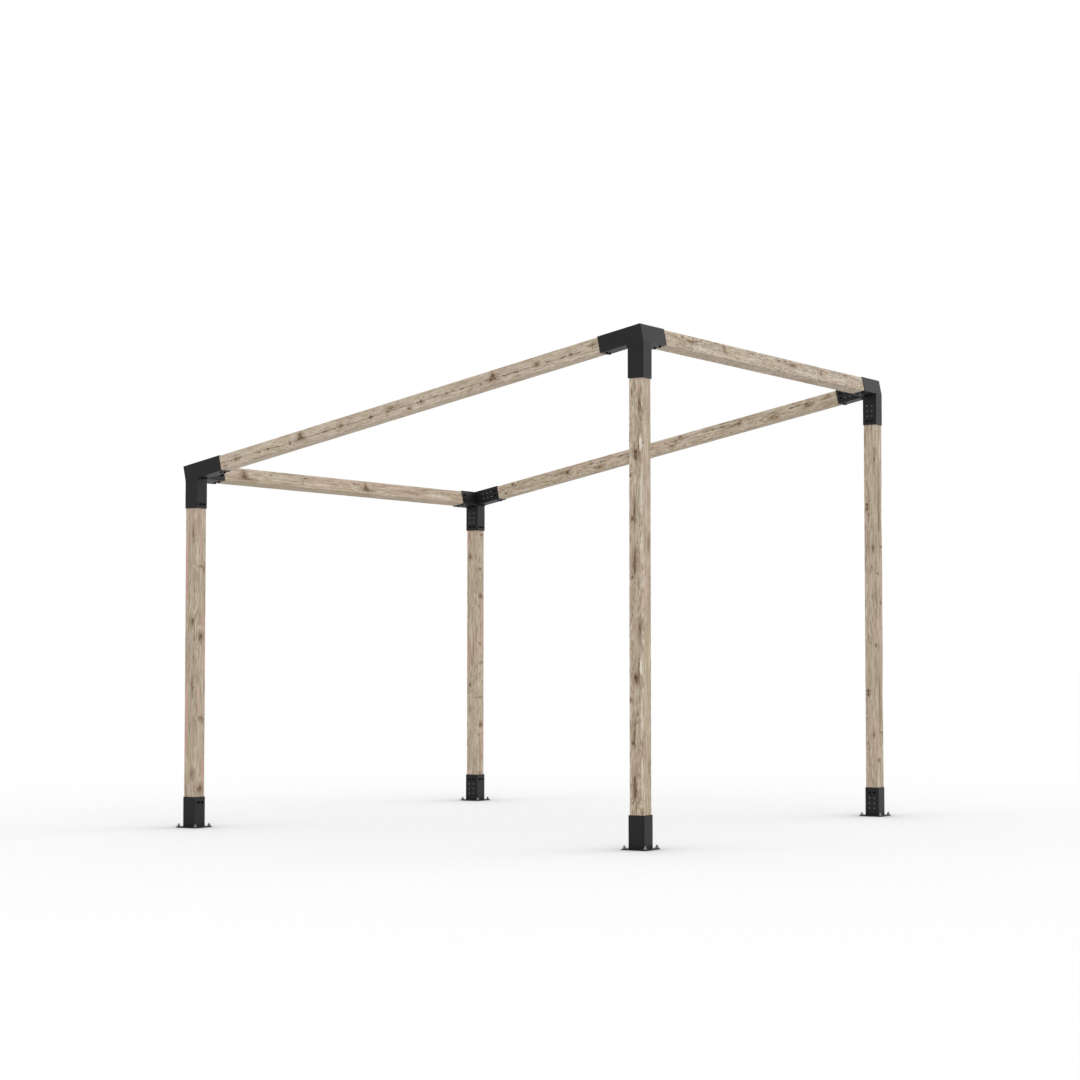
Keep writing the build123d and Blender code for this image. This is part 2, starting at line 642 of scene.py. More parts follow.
@dataclass(frozen=True)
class TimberFinish:
    """Planed softwood, weathered to a pale taupe.

    Its values are the colours, the sways of its fibres, its streaks, the marks that they lay, its rings, the
    edges of its knots, arrises, pits and cracks, and its relief.
    """

    half: float

    body: Colour = tone(200, 182, 159)
    cream: Colour = tone(250, 240, 224)
    pale: Colour = tone(228, 214, 195)
    shade: Colour = tone(166, 147, 123)
    pink: Colour = tone(213, 178, 164)
    blush: Colour = tone(216, 166, 154)
    straw: Colour = tone(197, 184, 146)
    grey: Colour = tone(184, 176, 163)
    stain: Colour = tone(126, 102, 77)
    heart: Colour = tone(88, 68, 50)
    crack: Colour = tone(84, 67, 51)

    tear: Sway = Sway(0.03, 0.011, 0.022, 0.009)
    fray: Sway = Sway(0.012, 0.005, 0.012, 0.006)
    drift: Sway = Sway(0.34, 0.12, 0.0, 0.05)
    curl: Sway = Sway(0.07, 0.025, 0.03, 0.011)
    bow: Sway = Sway(0.16, 0.03, 0.0, 0.006)
    seed_step: float = 7.3
    swirl_span: Span = (4.0, 0.8)
    swirl: float = 0.012

    band: Streak = Streak(0.5, 0.024, 0.0, 4.0)
    patch: Streak = Streak(0.36, 0.04, 31.0, 1.0)
    warm: Streak = Streak(0.22, 0.03, 109.0, 1.0)
    flame: Streak = Streak(0.16, 0.014, 7.0, 5.0)
    line: Streak = Streak(0.09, 0.006, 11.0, 5.0)
    lens: Streak = Streak(0.09, 0.010, 59.0, 3.0)
    brown: Streak = Streak(0.16, 0.010, 47.0, 5.0)
    dash: Streak = Streak(0.035, 0.008, 67.0, 4.0)
    fibre: Streak = Streak(0.05, 0.0011, 23.0, 3.0, Course.STRAIGHT)
    gate: Streak = Streak(0.3, 0.03, 97.0, 1.0)
    speck: Streak = Streak(0.02, 0.007, 127.0, 2.0)
    splinter: Streak = Streak(0.05, 0.009, 71.0, 3.0)
    pit: Streak = Streak(0.024, 0.008, 83.0, 1.0)

    body_band: Mark = Mark(band, 0.34, 0.6, body)
    pink_patch: Mark = Mark(patch, 0.5, 0.62, pink, 0.7)
    straw_patch: Mark = Mark(patch, 0.5, 0.38, straw)
    grey_patch: Mark = Mark(warm, 0.6, 0.38, grey)
    streaks: tuple[Mark, ...] = (
        Mark(flame, 0.51, 0.64, pale, 0.75), Mark(flame, 0.49, 0.36, shade, 0.7),
        Mark(line, 0.51, 0.66, pale, 0.55), Mark(line, 0.48, 0.35, shade, 0.5),
        Mark(lens, 0.64, 0.72, pale, 0.6))
    brown_streak: Mark = Mark(brown, 0.56, 0.67, stain)
    dashes: tuple[Mark, ...] = (Mark(dash, 0.54, 0.66, stain), Mark(dash, 0.46, 0.36, pale))
    fibres: tuple[Mark, ...] = (Mark(fibre, 0.52, 0.7, shade, 0.6), Mark(fibre, 0.48, 0.3, pale, 0.5))
    gate_span: Span = (0.34, 0.54)

    ring_pitch: float = 0.0046
    heart_shift: Span = (0.021, 0.034)
    late_span: Span = (0.45, 0.9)
    late_end: Span = (1.0, 0.94)
    late_strength: float = 0.45

    no_knot: float = 50.0
    speck_span: Span = (0.4, 0.56)
    speck_share: Span = (0.3, 1.0)
    halo_span: Span = (2.3, 1.0)
    halo_strength: float = 0.35
    knot_rim: Span = (0.0, 0.5)
    knot_heart: Span = (0.4, 1.0)

    arris_span: Span = (0.68, 0.88)
    fleck_span: Span = (0.66, 0.72)
    fleck_drop: float = 0.16
    fleck_strength: float = 0.85
    pit_span: Span = (0.78, 0.82)

    crack_bends: float = 2.1
    crack_twists: float = 14.0
    crack_swells: float = 17.0
    crack_stops: float = 6.3
    crack_detail: float = 2.0
    swell_span: Span = (0.04, 0.16)
    swell_width: Span = (1.0, 3.2)
    crack_edge: Span = (1.0, 0.4)
    stop_span: Span = (0.1, 0.16)
    stop_drop: float = 0.3
    crack_strength: float = 0.9

    line_gloss: float = 0.6
    late_gloss: float = 0.4
    roughness: Span = (0.62, 0.86)
    fibre_height: float = 0.35
    line_height: float = 0.3
    hollow_depth: float = 0.9
    knot_height: float = 0.25
    relief_depth: float = 0.002
    relief_strength: float = 0.5
    specular: float = 0.25

    def material(self, name: str, turn: Matrix, centre: Vector, figure: Figure) -> bpy.types.Material:
        """Build the finish of one timber.

        Args:
            name: The material's name.
            turn: Matrix whose columns are the timber's own ways along and across.
            centre: The timber's middle.
            figure: What its faces show.

        Returns:
            The material.
        """
        material, graph = new_material(name)
        mapping = graph.add("ShaderNodeMapping", vector_type="TEXTURE")
        graph.feed_named(mapping, {"Vector": graph.place(), "Location": centre, "Rotation": turn.to_euler()})
        TimberDrawing(graph, self, figure, mapping.outputs["Vector"]).draw()
        return material


class TimberDrawing:
    """One timber's node tree, drawn mark upon mark."""

    def __init__(self, graph: Graph, finish: TimberFinish, figure: Figure, own: Socket) -> None:
        """Find the knots and the ways of the fibres.

        Args:
            graph: The material's graph.
            finish: The colours and sizes of the marks.
            figure: What this timber's faces show.
            own: The place along the timber and across it both ways, from its middle.
        """
        self.graph = graph
        self.finish = finish
        self.figure = figure
        self.drawn: dict[Streak, Socket] = {}
        self.colour: Feed = finish.shade
        _, left, rise = graph.part(own)
        self.left = graph.math("ABSOLUTE", left)
        self.rise = graph.math("ABSOLUTE", rise)
        self.torn = graph.warp(own, finish.tear)
        self.ragged = graph.warp(self.torn, finish.fray)
        self.near, self.whole = self.knots(self.ragged, figure.knots)
        self.courses = self.run_fibres(own)

    def knots(self, place: Socket, knots: Iterable[Knot]) -> tuple[Feed, Feed]:
        """Measure the given knots.

        Args:
            place: The place along the timber and across it both ways.
            knots: The knots.

        Returns:
            The distance to the nearest one, in knot radii, and the strongest mark.
        """
        graph = self.graph
        nearest: Feed = self.finish.no_knot
        strongest: Feed = 0.0
        for knot in knots:
            node = graph.add("ShaderNodeGroup", node_tree=KnotField(self.finish.half).group())
            graph.feed_named(node, {
                "Vector": place, "Along": knot.along, "Turn": math.radians(knot.turn), "Across": knot.across,
                "Radius": knot.radius, "Slim": knot.slim, "Depth": knot.depth, "Dart": knot.shape.value,
                "Repeat": self.figure.repeat})
            nearest = graph.math("MINIMUM", nearest, node.outputs["Distance"])
            strongest = graph.math("MAXIMUM", strongest, node.outputs["Mark"])
        return nearest, strongest

    def run_fibres(self, own: Socket) -> dict[Course, Socket]:
        """Run the fibres in long waves and short curls that part round the knots.

        Args:
            own: The place along the timber and across it both ways.

        Returns:
            The place along the fibres, for each course.
        """
        graph, finish = self.graph, self.finish
        swirl = graph.math("MULTIPLY", graph.step(self.near, *finish.swirl_span), finish.swirl)
        parted = graph.join(0.0, swirl, swirl)
        seeded = graph.vector("ADD", own, (self.figure.seed * finish.seed_step, 0.0, 0.0))
        wavy = graph.warp(seeded, finish.drift)
        curly = graph.warp(wavy, finish.curl.strayed(self.figure.curl))
        straight = graph.warp(wavy, finish.bow)
        return {Course.CURLY: graph.vector("ADD", curly, parted),
                Course.STRAIGHT: graph.vector("ADD", straight, parted)}

    def streak(self, streak: Streak) -> Socket:
        """Draw a streak once.

        Args:
            streak: The streak.

        Returns:
            Its noise, 0 to 1 about a half.
        """
        if streak not in self.drawn:
            narrow = 1 / streak.width
            scale = (1 / (streak.length * self.figure.stretch), narrow, narrow)
            place = self.courses[streak.course]
            drawn = self.graph.vector("MULTIPLY_ADD", place, scale, (streak.shift,) * 3)
            self.drawn[streak] = self.graph.noise(drawn, streak.detail)
        return self.drawn[streak]

    def cover(self, share: Feed, colour: Colour) -> None:
        """Bring the timber's colour to another one by a share."""
        self.colour = self.graph.blend(share, self.colour, colour)

    def tint(self, share: Feed, strength: Feed, colour: Colour) -> None:
        """Bring the timber's colour towards another one, up to a strength."""
        self.cover(self.graph.math("MULTIPLY", share, strength), colour)

    def lay(self, mark: Mark, strength: Optional[Feed] = None) -> None:
        """Lay a mark's colour where its streak is strong.

        Args:
            mark: The mark.
            strength: The strength to use in place of the mark's own.
        """
        shown = self.graph.step(self.streak(mark.streak), mark.start, mark.end)
        self.tint(shown, mark.strength if strength is None else strength, mark.colour)

    def rings(self) -> Socket:
        """Draw growth rings about a heart that drifts.

        Returns:
            1 in the dark late wood of a year and 0 in its early wood.
        """
        graph, finish = self.graph, self.finish
        shifted = graph.vector("ADD", self.courses[Course.STRAIGHT], (0.0, *finish.heart_shift))
        _, first, second = graph.part(shifted)
        year = graph.math("FRACT", graph.math("DIVIDE", graph.length(first, second), finish.ring_pitch))
        return graph.math("MULTIPLY", graph.step(year, *finish.late_span), graph.step(year, *finish.late_end))

    def paint_ground(self) -> None:
        """Paint the broad bands and the pink, yellow and grey patches."""
        self.lay(self.finish.body_band)
        self.lay(self.finish.pink_patch)
        self.lay(self.finish.straw_patch, self.figure.straw)
        self.lay(self.finish.grey_patch, self.figure.bleach)
        self.cover(self.figure.lift, self.finish.pale)

    def paint_grain(self, late: Socket) -> None:
        """Paint the streaks along the grain, from flames to single fibres.

        Args:
            late: The late wood of the rings.
        """
        graph, finish, figure = self.graph, self.finish, self.figure
        for mark in finish.streaks:
            self.lay(mark)
        self.tint(late, finish.late_strength, finish.shade)
        self.lay(finish.brown_streak, figure.stains)
        gate = graph.step(self.streak(finish.gate), *finish.gate_span)
        side = graph.math("GREATER_THAN", self.left, self.rise)
        mottle = graph.math("MULTIPLY", gate, graph.span(side, figure.mottle, figure.mottle * figure.calm))
        for mark in finish.dashes:
            self.lay(mark, mottle)
        for mark in finish.fibres:
            self.lay(mark)

    def paint_knots(self) -> Socket:
        """Paint the pink streaks, the knots and the pale slivers.

        Returns:
            1 in the hearts of the knots, for the relief.
        """
        graph, finish = self.graph, self.finish
        _, sliver = self.knots(self.torn, self.figure.slivers)
        _, blush = self.knots(self.torn, self.figure.blushes)
        speck = graph.step(self.streak(finish.speck), *finish.speck_span)
        knot = graph.math("MULTIPLY", self.whole, graph.span(speck, *finish.speck_share))
        self.cover(blush, finish.blush)
        self.tint(graph.step(self.near, *finish.halo_span), finish.halo_strength, finish.stain)
        self.cover(graph.step(knot, *finish.knot_rim), finish.stain)
        self.cover(graph.step(knot, *finish.knot_heart), finish.heart)
        self.cover(sliver, finish.cream)
        return knot

    def paint_arrises(self) -> Socket:
        """Paint the pale ragged flecks along the arrises.

        Returns:
            1 on the flecks, for the relief.
        """
        graph, finish = self.graph, self.finish
        edge = graph.math("MINIMUM", self.left, self.rise)
        arris = graph.step(edge, *[finish.half * share for share in finish.arris_span])
        drop = finish.fleck_drop * self.figure.flecks
        torn = graph.step(self.streak(finish.splinter), *[value - drop for value in finish.fleck_span])
        fleck = graph.math("MULTIPLY", arris, torn)
        self.tint(fleck, finish.fleck_strength, finish.pale)
        return fleck

    def crack(self, check: Check, number: int) -> Socket:
        """Draw one drying crack.

        Args:
            check: The crack.
            number: Its number on this timber, which sets it apart from the others.

        Returns:
            1 on the crack and 0 beside it.
        """
        graph, finish = self.graph, self.finish
        grain, out, across = graph.face_place(self.ragged, math.radians(check.turn))
        start = graph.math("ADD", grain, self.figure.seed + number)
        slow = graph.math("MULTIPLY", graph.wave(start, finish.crack_bends), check.wander)
        quick = graph.math("MULTIPLY", graph.wave(start, finish.crack_twists), check.wander / 2)
        centre = graph.math("ADD", graph.math("ADD", slow, quick), check.across)
        off = graph.math("ABSOLUTE", graph.math("SUBTRACT", across, centre))
        swell = graph.step(graph.wave(start, finish.crack_swells, finish.crack_detail), *finish.swell_span)
        width = graph.math("MULTIPLY", graph.span(swell, *finish.swell_width), check.width)
        line = graph.step(graph.math("DIVIDE", off, width), *finish.crack_edge)
        stops = [value - finish.stop_drop * check.share for value in finish.stop_span]
        open_here = graph.step(graph.wave(start, finish.crack_stops, finish.crack_detail), *stops)
        face = graph.math("GREATER_THAN", graph.math("ABSOLUTE", out), finish.half / 2)
        return graph.math("MULTIPLY", graph.math("MULTIPLY", line, open_here), face)

    def paint_hollows(self) -> Socket:
        """Paint the dark pits and the open cracks.

        Returns:
            1 in the pits and the cracks, for the relief.
        """
        graph, finish = self.graph, self.finish
        pit = graph.step(self.streak(finish.pit), *finish.pit_span)
        self.cover(pit, finish.heart)
        cracks: Feed = 0.0
        for number, check in enumerate(self.figure.checks):
            cracks = graph.math("MAXIMUM", cracks, self.crack(check, number))
        self.tint(cracks, finish.crack_strength, finish.crack)
        return graph.math("ADD", cracks, pit)

    def draw(self) -> None:
        """Paint every mark in its order and end in the surface with its relief."""
        graph, finish = self.graph, self.finish
        late = self.rings()
        self.paint_ground()
        self.paint_grain(late)
        knot = self.paint_knots()
        fleck = self.paint_arrises()
        hollow = self.paint_hollows()
        line = self.streak(finish.line)
        dull = graph.math("ADD", graph.math("MULTIPLY", line, finish.line_gloss),
                          graph.math("MULTIPLY", late, finish.late_gloss))
        height = graph.math("ADD", graph.math("MULTIPLY", self.streak(finish.fibre), finish.fibre_height),
                            graph.math("MULTIPLY", line, finish.line_height))
        height = graph.math("SUBTRACT", height, graph.math("MULTIPLY", hollow, finish.hollow_depth))
        raised = graph.math("SUBTRACT", knot, fleck)
        height = graph.math("ADD", height, graph.math("MULTIPLY", raised, finish.knot_height))
        normal = graph.bump(height, finish.relief_depth, finish.relief_strength)
        graph.surface(self.colour, graph.span(dull, *finish.roughness), normal,
                      Specular_IOR_Level=finish.specular)


@dataclass(frozen=True)
class PowderCoat:
    """Matt black powder coat with a fine orange peel."""

    dark: Colour = tone(11, 11, 12)
    light: Colour = tone(20, 20, 21)
    peel_size: float = 0.0011
    cloud_size: float = 0.11
    scuff_size: float = 0.017
    cloud_span: Span = (0.3, 0.7)
    scuff_span: Span = (0.6, 0.75)
    roughness: Span = (0.48, 0.58)
    scuff_roughness: float = 0.08
    peel_depth: float = 0.0002
    peel_strength: float = 0.35
    specular: float = 0.3

    def material(self) -> bpy.types.Material:
        """Build the finish.

        Returns:
            The material.
        """
        material, graph = new_material("black_powder_coat")
        place = graph.place()
        peel = graph.grain(place, self.peel_size)
        cloud = graph.grain(place, self.cloud_size, 3.0)
        scuff = graph.step(graph.grain(place, self.scuff_size, 4.0), *self.scuff_span)
        colour = graph.blend(graph.step(cloud, *self.cloud_span), self.dark, self.light)
        roughness = graph.math("ADD", graph.span(cloud, *self.roughness),
                               graph.math("MULTIPLY", scuff, self.scuff_roughness))
        normal = graph.bump(peel, self.peel_depth, self.peel_strength)
        graph.surface(colour, roughness, normal, Specular_IOR_Level=self.specular)
        return material


@dataclass(frozen=True)
class Zinc:
    """Zinc plating, dulled and clouded by handling."""

    name: str
    clear: Colour
    cloudy: Colour
    cloud_size: float = 0.006
    spangle_size: float = 0.0007
    cloud_span: Span = (0.35, 0.65)
    roughness: Span = (0.38, 0.56)
    spangle_depth: float = 0.0001
    spangle_strength: float = 0.2

    def material(self) -> bpy.types.Material:
        """Build the finish.

        Returns:
            The material.
        """
        material, graph = new_material(self.name)
        place = graph.place()
        cloud = graph.grain(place, self.cloud_size, 3.0)
        spangle = graph.grain(place, self.spangle_size)
        colour = graph.blend(graph.step(cloud, *self.cloud_span), self.cloudy, self.clear)
        normal = graph.bump(spangle, self.spangle_depth, self.spangle_strength)
        graph.surface(colour, graph.span(cloud, *self.roughness), normal, Metallic=1.0)
        return material


@dataclass(frozen=True)
class BlackOxideAndHoleShade:
    """Oil blackened steel of the cap screws, kept near black and nearly unglossy so that it also paints the
    shade of open holes.
    """

    dark: Colour = tone(8, 8, 8)
    worn: Colour = tone(18, 18, 17)
    wear_size: float = 0.0024
    wear_span: Span = (0.45, 0.75)
    roughness: Span = (0.55, 0.75)
    wear_depth: float = 0.0001
    wear_strength: float = 0.2
    specular: float = 0.08

    def material(self) -> bpy.types.Material:
        """Build the finish.

        Returns:
            The material.
        """
        material, graph = new_material("black_oxide_and_hole_shade")
        wear = graph.grain(graph.place(), self.wear_size, 3.0)
        colour = graph.blend(graph.step(wear, *self.wear_span), self.dark, self.worn)
        normal = graph.bump(wear, self.wear_depth, self.wear_strength)
        graph.surface(colour, graph.span(wear, *self.roughness), normal, Specular_IOR_Level=self.specular)
        return material


def lathe(mesh: bmesh.types.BMesh, profile: Sequence[Span], sides: int, place: Matrix) -> None:
    """Turn a profile about its own axis and put it in place.

    Args:
        mesh: The mesh to add to.
        profile: Radius and height of each point, in metres.
        sides: Sides of the turned shape.
        place: Where the shape's foot and axis go.
    """
    earlier = set(mesh.verts)
    points = [mesh.verts.new((radius, 0.0, height)) for radius, height in profile]
    edges = [mesh.edges.new(pair) for pair in zip(points, points[1:])]
    bmesh.ops.spin(mesh, geom=points + edges, cent=(0, 0, 0), axis=UP, angle=math.tau, steps=sides,
                   use_merge=True)
    turned = [vert for vert in mesh.verts if vert not in earlier]
    bmesh.ops.remove_doubles(mesh, verts=turned, dist=MERGE_DISTANCE)
    kept = [vert for vert in turned if vert.is_valid]
    bmesh.ops.transform(mesh, matrix=place, verts=kept)


def make_piece(name: str, mesh: bmesh.types.BMesh, material: bpy.types.Material) -> None:
    """Turn a finished mesh into a piece that rides on the frame.

    Args:
        name: The piece's name.
        mesh: Its mesh, in place. It is freed.
        material: Its finish.
    """
    bmesh.ops.recalc_face_normals(mesh, faces=mesh.faces)
    data = bpy.data.meshes.new(name)
    mesh.to_mesh(data)
    mesh.free()
    data.materials.append(material)
    piece = bpy.data.objects.new(name, data)
    bpy.context.scene.collection.objects.link(piece)
    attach(piece, BODY)
    LOG.info("piece %s: %d faces", name, len(data.polygons))


def set_finish(node: str, material: bpy.types.Material) -> None:
    """Give every face of a CAD node one finish.

    Args:
        node: The node's name.
        material: The finish.
    """
    piece = frame["nodes"][node]
    if not piece.material_slots:
        piece.data.materials.append(material)
    for slot in piece.material_slots:
        slot.material = material
    LOG.info("finish %s: %s", node, material.name)


@dataclass(frozen=True)
class PanScrew:
    """A small pan head screw with a round edged head and a recess."""

    radius: float = 0.0035
    height: float = 0.0024
    recess: float = 0.0013
    sides: int = 12

    def build(self, mesh: bmesh.types.BMesh, place: Matrix) -> None:
        """Add one head.

        Args:
            mesh: The mesh to add to.
            place: The seat and axis of the head.
        """
        profile = [(0.0, self.height - self.recess), (self.recess, self.height - self.recess / 2),
                   (self.recess, self.height), (self.radius * 0.6, self.height * 0.96),
                   (self.radius * 0.9, self.height * 0.66), (self.radius, self.height * 0.2),
                   (self.radius, 0.0)]
        lathe(mesh, profile, self.sides, place)


@dataclass(frozen=True)
class CapScrew:
    """A black cap screw with a tall head and a socket."""

    radius: float = 0.0065
    height: float = 0.008
    chamfer: float = 0.0009
    socket: float = 0.0036
    socket_depth: float = 0.004
    sides: int = 12

    def build(self, mesh: bmesh.types.BMesh, place: Matrix) -> None:
        """Add one head.

        Args:
            mesh: The mesh to add to.
            place: The seat and axis of the head.
        """
        floor = self.height - self.socket_depth
        profile = [(0.0, floor), (self.socket, floor), (self.socket, self.height - self.chamfer / 2),
                   (self.socket + self.chamfer / 2, self.height), (self.radius - self.chamfer, self.height),
                   (self.radius, self.height - self.chamfer), (self.radius, 0.0)]
        lathe(mesh, profile, self.sides, place)


@dataclass(frozen=True)
class Anchor:
    """An anchor stud with its washer and nut."""

    stud: float = 0.005
    stud_height: float = 0.019
    stud_sides: int = 12
    washer: float = 0.0105
    washer_height: float = 0.0022
    washer_sides: int = 20
    nut: float = 0.0096
    nut_height: float = 0.0085
    nut_sides: int = 6
    chamfer: float = 0.0012

    def build(self, mesh: bmesh.types.BMesh, place: Matrix) -> None:
        """Add one anchor.

        Args:
            mesh: The mesh to add to.
            place: The seat and axis of the anchor.
        """
        rim = self.washer - self.chamfer / 2
        lathe(mesh, [(self.stud, self.washer_height), (rim, self.washer_height),
                     (self.washer, self.washer_height - self.chamfer / 2), (self.washer, 0.0)],
              self.washer_sides, place)
        top = self.washer_height + self.nut_height
        lathe(mesh, [(self.stud, top), (self.nut - self.chamfer, top), (self.nut, top - self.chamfer),
                     (self.nut, self.washer_height)], self.nut_sides, place)
        lathe(mesh, [(0.0, self.stud_height), (self.stud - self.chamfer, self.stud_height),
                     (self.stud, self.stud_height - self.chamfer), (self.stud, 0.0)], self.stud_sides, place)


@dataclass(frozen=True)
class Wall:
    """One flat inner wall of a bracket.

    Attributes:
        end: The middle of its end.
        along: The way from its end towards its fold.
        normal: The way out of it.
        length: Its length.
    """

    end: Vector
    along: Vector
    normal: Vector
    length: float

    def place(self, across: float, along: float) -> Matrix:
        """Return the frame of a screw on this wall.

        Args:
            across: Distance from the wall's middle line.
            along: Distance from the wall's end.

        Returns:
            A matrix whose third axis points out of the wall.
        """
        side = self.along.cross(self.normal)
        origin = self.end + self.along * along + side * across
        turn = Matrix((side, self.along, self.normal)).transposed()
        return Matrix.Translation(origin) @ turn.to_4x4()


@dataclass(frozen=True)
class ScrewLayout:
    """The pattern of screws on a bracket's walls."""

    gauge: float = 0.034
    end_row: float = 0.025
    first_row: float = 0.058
    row_pitch: float = 0.034
    rows: int = 3
    fold_row: float = 0.017

    def pair(self, wall: Wall, along: float) -> list[Matrix]:
        """Return the places of two screws side by side at a distance from a wall's end."""
        return [wall.place(across, along) for across in (-self.gauge / 2, self.gauge / 2)]

    def grid(self, wall: Wall, first: float) -> list[Matrix]:
        """Return the places of the screws that hold the timber, from the first row on."""
        rows = [first + self.row_pitch * row for row in range(self.rows)]
        return [place for along in rows for place in self.pair(wall, along)]


@dataclass(frozen=True)
class Finishes:
    """The finishes that the pieces share."""

    coat: bpy.types.Material
    zinc: bpy.types.Material
    stud: bpy.types.Material
    oxide_and_hole_shade: bpy.types.Material


@dataclass
class Timber:
    """One square timber."""

    node: str
    figure: Figure
    pitch: float

    def axes(self) -> Matrix:
        """Find the timber's own ways.

        Returns:
            A matrix whose columns run along the grain and across it both ways.
        """
        rise = Vector((-math.sin(self.pitch), 0.0, math.cos(self.pitch)))
        if self.figure.grain is Grain.UPRIGHT:
            ways = (UP, ALONG_X, ALONG_Y)
        elif self.figure.grain is Grain.SLOPED:
            ways = (ALONG_Y.cross(rise), ALONG_Y, rise)
        else:
            ways = (ALONG_Y, rise.cross(ALONG_Y), rise)
        return Matrix(ways).transposed()

    def dress(self, finish: TimberFinish) -> None:
        """Give the timber its own grain."""
        material = finish.material(self.node + "_grain", self.axes(), middle(self.node), self.figure)
        set_finish(self.node, material)


@dataclass
class Corner:
    """A three way bracket where a post carries a sloped and a level beam."""

    spot: str
    pitch: float
    half: float
    layout: ScrewLayout = ScrewLayout()
    screw: PanScrew = PanScrew()
    cap: CapScrew = CapScrew()

    def walls(self) -> dict[str, Wall]:
        """Find the six inner walls that carry screws.

        Returns:
            The walls, by the arm that they are on and the way that they look.
        """
        end, side = self.spot.split("_")
        post = middle(self.spot + "_post")
        low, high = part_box(self.spot + "_corner_outer")
        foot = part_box(self.spot + "_corner_inner")[0].z
        slope = Vector((math.cos(self.pitch), 0.0, math.sin(self.pitch)))
        rise = Vector((-math.sin(self.pitch), 0.0, math.cos(self.pitch)))
        depth = ALONG_Y if end == "front" else -ALONG_Y
        across = ALONG_X if side == "left" else -ALONG_X
        inward = slope if side == "left" else -slope

        # The arms' ends, on their middle lines, and the fold where the post arm meets the sloped arm.
        core = middle(side + "_beam")
        core.y = post.y
        tip_x = high.x if side == "left" else low.x
        tip_y = high.y if end == "front" else low.y
        reach = (abs(tip_x - core.x) - self.half * math.sin(self.pitch)) / math.cos(self.pitch)
        tip = core + inward * reach
        under_tip = tip - rise * self.half
        level_end = Vector((core.x, tip_y, core.z))
        base = Vector((post.x, post.y, foot))
        fold_x = post.x + across.x * self.half
        fold_z = core.z - self.half / math.cos(self.pitch) + (fold_x - core.x) * math.tan(self.pitch)

        post_length = fold_z - foot
        under_length = abs(under_tip.x - fold_x) / math.cos(self.pitch)
        level_length = abs(tip_y - post.y) - self.half
        return {
            "post_depth": Wall(base + depth * self.half, UP, depth, post_length),
            "post_across": Wall(base + across * self.half, UP, across, post_length),
            "sloped_depth": Wall(tip + depth * self.half, -inward, depth, under_length),
            "sloped_under": Wall(under_tip, -inward, -rise, under_length),
            "level_inward": Wall(level_end + inward * self.half, -depth, inward, level_length),
            "level_under": Wall(level_end - rise * self.half, -depth, -rise, level_length),
        }

    def build(self, finishes: Finishes) -> None:
        """Coat the bracket and add its screws.

        Args:
            finishes: The finishes that the pieces share.
        """
        for half in ("_corner_outer", "_corner_inner"):
            set_finish(self.spot + half, finishes.coat)
        walls = self.walls()
        screws = bmesh.new()
        for name in ("post_depth", "sloped_depth"):
            for place in self.layout.grid(walls[name], self.layout.first_row):
                self.screw.build(screws, place)
        make_piece(self.spot + "_corner_screws", screws, finishes.zinc)
        # The black caps are screws in the paired holes; their near-black steel also paints the shade that
        # open holes hold.
        caps = bmesh.new()
        for wall in walls.values():
            for place in self.layout.pair(wall, self.layout.end_row):
                self.cap.build(caps, place)
        for name in ("sloped_under", "level_under"):
            for place in self.layout.pair(walls[name], walls[name].length - self.layout.fold_row):
                self.cap.build(caps, place)
        make_piece(self.spot + "_corner_caps", caps, finishes.oxide_and_hole_shade)


@dataclass
class Base:
    """A post base: plate, two part sleeve and its anchors."""

    spot: str
    half: float
    drop: float = 0.034
    first_turn: float = 17.0
    turn_step: float = 23.0
    layout: ScrewLayout = ScrewLayout()
    screw: PanScrew = PanScrew()
    cap: CapScrew = CapScrew()
    anchor: Anchor = Anchor()

    def walls(self) -> tuple[Wall, Wall]:
        """Find the clamp half's walls.

        Returns:
            The wall that looks to the front or back, and the one that looks to a side.
        """
        post = middle(self.spot + "_post")
        low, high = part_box(self.spot + "_base_clamp")
        lean = (low + high) / 2 - post
        depth = ALONG_Y * math.copysign(1, lean.y)
        across = ALONG_X * math.copysign(1, lean.x)
        top = Vector((post.x, post.y, high.z))
        height = high.z - low.z
        return (Wall(top + depth * self.half, -UP, depth, height),
                Wall(top + across * self.half, -UP, across, height))

    def anchor_places(self) -> list[Matrix]:
        """Find where the anchors stand on the plate.

        Returns:
            The seat of each anchor, each turned its own way.
        """
        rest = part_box(self.spot + "_post")[0].z
        mount = next(row for row in frame["record"]["mounts"] if row["name"] == self.spot + "_anchors")
        x, y, _ = mount["pos_m"]
        half_x = mount["dims"]["spacing_x_mm"] / 2000
        half_y = mount["dims"]["spacing_y_mm"] / 2000
        spots = [(x + i * half_x, y + j * half_y, rest) for i in (-1, 1) for j in (-1, 1)]
        angles = [math.radians(self.first_turn + self.turn_step * number) for number in range(len(spots))]
        turns = [Matrix.Rotation(angle, 4, "Z") for angle in angles]
        return [Matrix.Translation(spot) @ turn for spot, turn in zip(spots, turns)]

    def build(self, finishes: Finishes) -> None:
        """Coat the base and add its screws and anchors.

        Args:
            finishes: The finishes that the pieces share.
        """
        for half in ("_base", "_base_clamp"):
            set_finish(self.spot + half, finishes.coat)
        front, side = self.walls()
        screws = bmesh.new()
        for place in self.layout.grid(front, self.drop + self.layout.row_pitch):
            self.screw.build(screws, place)
        make_piece(self.spot + "_base_screws", screws, finishes.zinc)
        # The black caps are screws in the paired holes; their near-black steel also paints the shade that
        # open holes hold.
        caps = bmesh.new()
        for wall in (front, side):
            for place in self.layout.pair(wall, self.drop):
                self.cap.build(caps, place)
        make_piece(self.spot + "_base_caps", caps, finishes.oxide_and_hole_shade)
        anchors = bmesh.new()
        for place in self.anchor_places():
            self.anchor.build(anchors, place)
        make_piece(self.spot + "_anchors", anchors, finishes.stud)


